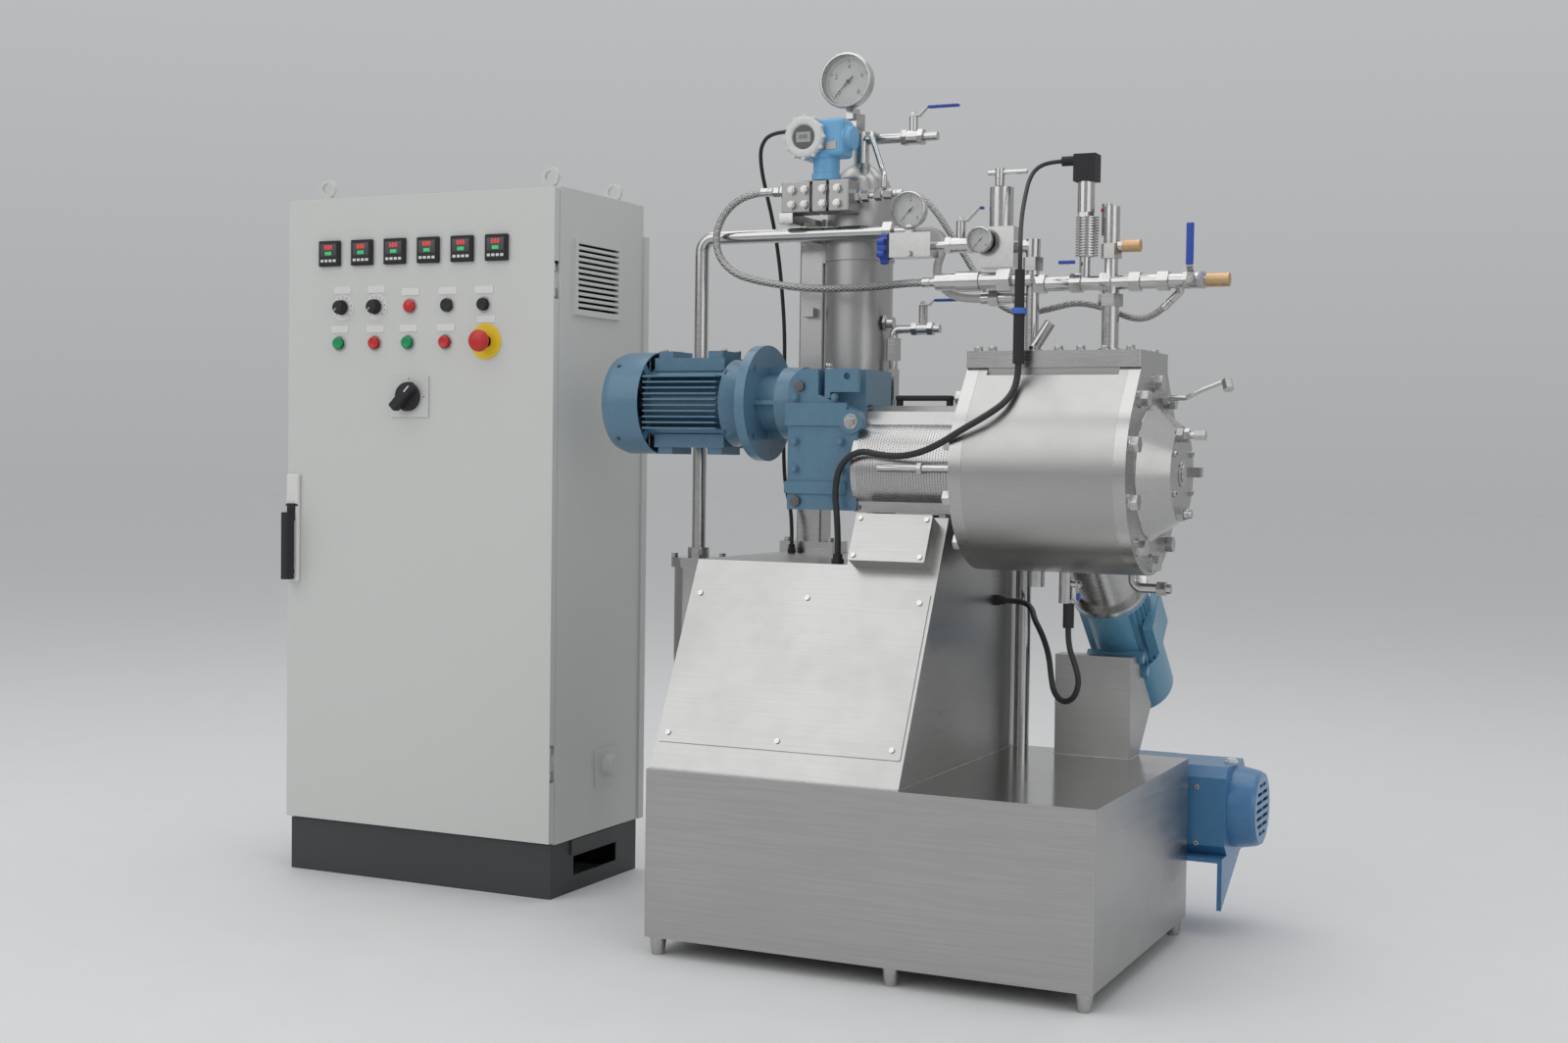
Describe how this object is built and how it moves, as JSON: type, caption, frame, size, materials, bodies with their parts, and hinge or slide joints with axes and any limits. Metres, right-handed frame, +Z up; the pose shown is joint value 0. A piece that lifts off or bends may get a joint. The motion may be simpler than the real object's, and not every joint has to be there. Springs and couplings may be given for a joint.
{
  "type": "paddle mixer dryer",
  "caption": "Horizontal paddle mixer dryer on a steel skid, with geared drive, chopper, filter, gas lines, vacuum pump and a separate control cabinet",
  "frame": {"origin": "Centre of the underside of the front right levelling foot, on the floor", "axes": "+X runs along the skid to the right, +Y runs back from the front, +Z is up"},
  "size_m": [1.8111, 0.7544, 1.539],
  "materials": {
    "stainless_sheet": "fine brushed stainless sheet",
    "stainless_machined": "machined and ground stainless",
    "stainless_fittings": "bright stainless fittings",
    "steel_blue_paint": "satin steel blue enamel",
    "bright_blue_paint": "semi-gloss blue enamel",
    "sky_blue_paint": "light blue powder coat",
    "blue_grip": "blue dipped grip",
    "black_plastic": "black moulded plastic",
    "cabinet_paint": "pale grey textured powder coat",
    "cabinet_equipment": "dark device housings on a zinc plate",
    "green_button": "green cap",
    "red_button": "red cap",
    "braided_hose": "stainless braid",
    "pale_hose": "pale ribbed hose",
    "black_cable": "black cable sheath"
  },
  "bodies": {
    "machine": {"skid_base": "stainless_sheet", "skid_feet": "stainless_fittings", "drive_cover": "stainless_sheet", "cover_panel": "stainless_sheet", "terminal_box": "stainless_sheet", "instrument_column": "stainless_sheet", "gearbox_housing": "steel_blue_paint", "bearings_and_seals": "stainless_fittings", "motor_housing": "steel_blue_paint", "drive_lantern": "stainless_machined", "coupling_guard": "stainless_sheet", "vessel_body": "stainless_machined", "right_end_cover": "stainless_machined", "vessel_lid": "stainless_machined", "fasteners": "stainless_fittings", "chopper_support": "stainless_machined", "chopper_motor": "steel_blue_paint", "vacuum_pump": "bright_blue_paint", "filter_vessel": "stainless_fittings", "pipework": "stainless_fittings", "valve_bodies": "stainless_fittings", "gauge_cases": "stainless_fittings", "pressure_transmitter": "sky_blue_paint", "cable_fittings": "black_plastic", "cabinet_body": "cabinet_paint", "cabinet_equipment": "cabinet_equipment", "hose_transmitter": "braided_hose", "hose_vent": "braided_hose", "hose_corrugated": "pale_hose", "cable_sensor": "black_cable", "cable_loop": "black_cable", "cable_transmitter": "black_cable", "cable_underside": "black_cable"},
    "paddle": {"paddle_shaft": "stainless_machined"},
    "layshaft": {"layshaft": "stainless_machined"},
    "motor": {"motor_rotor": "stainless_machined"},
    "chopper": {"chopper_rotor": "stainless_machined"},
    "pump": {"pump_rotor": "stainless_machined"},
    "gauge_valve": {"lever_gauge": "blue_grip"},
    "line_valve": {"lever_line": "blue_grip"},
    "filter_valve": {"lever_filter": "blue_grip"},
    "vent_valve": {"lever_vent": "blue_grip"},
    "drain_valve": {"lever_drain": "blue_grip"},
    "needle_valve": {"needle_valve_knob": "blue_grip"},
    "regulator": {"regulator_handle": "stainless_fittings"},
    "top_needle": {"needle_top_gauge": "black_plastic"},
    "line_needle": {"needle_line_gauge": "black_plastic"},
    "regulator_needle": {"needle_regulator_gauge": "black_plastic"},
    "door": {"cabinet_door": "cabinet_paint", "cabinet_fittings": "black_plastic"},
    "handle": {"door_handle": "black_plastic"},
    "main_switch": {"main_switch_knob": "black_plastic"},
    "mixer_speed": {"speed_knob_mixer": "black_plastic"},
    "chopper_speed": {"speed_knob_chopper": "black_plastic"},
    "button_mixer_start_body": {"button_mixer_start": "green_button"},
    "button_mixer_stop_body": {"button_mixer_stop": "red_button"},
    "button_chopper_start_body": {"button_chopper_start": "green_button"},
    "button_chopper_stop_body": {"button_chopper_stop": "red_button"},
    "button_reset_body": {"button_reset": "black_plastic"},
    "emergency_stop_body": {"emergency_stop": "red_button"}
  },
  "joints": [
    {"name": "paddle_spin", "type": "hinge", "parent": "machine", "child": "paddle", "pos_m": [-0.082, 0.267, 0.798], "axis": [1, 0, 0], "continuous": true},
    {"name": "layshaft_spin", "type": "hinge", "parent": "machine", "child": "layshaft", "pos_m": [-0.532, 0.2868, 0.8599], "axis": [1, 0, 0], "continuous": true},
    {"name": "motor_spin", "type": "hinge", "parent": "machine", "child": "motor", "pos_m": [-0.782, 0.267, 0.908], "axis": [1, 0, 0], "continuous": true},
    {"name": "chopper_spin", "type": "hinge", "parent": "machine", "child": "chopper", "pos_m": [-0.112, 0.48994, 0.59726], "axis": [0, 0.7431, -0.6691], "continuous": true},
    {"name": "pump_spin", "type": "hinge", "parent": "machine", "child": "pump", "pos_m": [0.018, 0.647, 0.212], "axis": [1, 0, 0], "continuous": true},
    {"name": "gauge_valve_turn", "type": "hinge", "parent": "machine", "child": "gauge_valve", "pos_m": [-0.484, 0.482, 1.43], "axis": [0, 0, 1], "range_deg": [0, 90]},
    {"name": "line_valve_turn", "type": "hinge", "parent": "machine", "child": "line_valve", "pos_m": [-0.325, 0.302, 1.215], "axis": [0, 0, 1], "range_deg": [0, 90]},
    {"name": "filter_valve_turn", "type": "hinge", "parent": "machine", "child": "filter_valve", "pos_m": [-0.452, 0.462, 1.088], "axis": [0, 0, 1], "range_deg": [0, 90]},
    {"name": "vent_valve_turn", "type": "hinge", "parent": "machine", "child": "vent_valve", "pos_m": [0.07, 0.276, 1.105], "axis": [0, 1, 0], "range_deg": [0, 90]},
    {"name": "drain_valve_turn", "type": "hinge", "parent": "machine", "child": "drain_valve", "pos_m": [-0.107, 0.282, 0.615], "axis": [1, 0, 0], "range_deg": [0, 90]},
    {"name": "needle_valve_turn", "type": "hinge", "parent": "machine", "child": "needle_valve", "pos_m": [-0.457, 0.302, 1.172], "axis": [-1, 0, 0], "range_deg": [0, 1800]},
    {"name": "regulator_turn", "type": "hinge", "parent": "machine", "child": "regulator", "pos_m": [-0.258, 0.302, 1.29], "axis": [0, 0, 1], "range_deg": [-1080, 1080]},
    {"name": "top_needle_turn", "type": "hinge", "parent": "machine", "child": "top_needle", "pos_m": [-0.596, 0.444, 1.489], "axis": [0, 1, 0], "range_deg": [0, 270]},
    {"name": "line_needle_turn", "type": "hinge", "parent": "machine", "child": "line_needle", "pos_m": [-0.414, 0.294, 1.234], "axis": [0, 1, 0], "range_deg": [0, 270]},
    {"name": "regulator_needle_turn", "type": "hinge", "parent": "machine", "child": "regulator_needle", "pos_m": [-0.277, 0.264, 1.177], "axis": [0, 1, 0], "range_deg": [0, 270]},
    {"name": "door_swing", "type": "hinge", "parent": "machine", "child": "door", "pos_m": [-1.083, 0.238, 0.7], "axis": [0, 0, 1], "range_deg": [0, 105]},
    {"name": "handle_swing", "type": "hinge", "parent": "door", "child": "handle", "pos_m": [-1.658, 0.221, 0.71], "axis": [-1, 0, 0], "range_deg": [0, 25]},
    {"name": "main_switch_turn", "type": "hinge", "parent": "door", "child": "main_switch", "pos_m": [-1.3895, 0.222, 0.9185], "axis": [0, -1, 0], "range_deg": [0, 90]},
    {"name": "mixer_speed_turn", "type": "hinge", "parent": "door", "child": "mixer_speed", "pos_m": [-1.546, 0.222, 1.088], "axis": [0, -1, 0], "range_deg": [0, 270]},
    {"name": "chopper_speed_turn", "type": "hinge", "parent": "door", "child": "chopper_speed", "pos_m": [-1.468, 0.222, 1.088], "axis": [0, -1, 0], "range_deg": [0, 270]},
    {"name": "button_mixer_start_press", "type": "slide", "parent": "door", "child": "button_mixer_start_body", "axis": [0, 1, 0], "range_m": [0, 0.004], "stiffness_N_per_m": 400, "springref_m": -0.002},
    {"name": "button_mixer_stop_press", "type": "slide", "parent": "door", "child": "button_mixer_stop_body", "axis": [0, 1, 0], "range_m": [0, 0.004], "stiffness_N_per_m": 400, "springref_m": -0.002},
    {"name": "button_chopper_start_press", "type": "slide", "parent": "door", "child": "button_chopper_start_body", "axis": [0, 1, 0], "range_m": [0, 0.004], "stiffness_N_per_m": 400, "springref_m": -0.002},
    {"name": "button_chopper_stop_press", "type": "slide", "parent": "door", "child": "button_chopper_stop_body", "axis": [0, 1, 0], "range_m": [0, 0.004], "stiffness_N_per_m": 400, "springref_m": -0.002},
    {"name": "button_reset_press", "type": "slide", "parent": "door", "child": "button_reset_body", "axis": [0, 1, 0], "range_m": [0, 0.004], "stiffness_N_per_m": 400, "springref_m": -0.002},
    {"name": "emergency_stop_press", "type": "slide", "parent": "door", "child": "emergency_stop_body", "axis": [0, 1, 0], "range_m": [0, 0.005]}
  ],
  "couplings": [
    {"joint": "layshaft_spin", "follows": "paddle_spin", "ratio": -2.7143},
    {"joint": "motor_spin", "follows": "paddle_spin", "ratio": 6.1071}
  ]
}
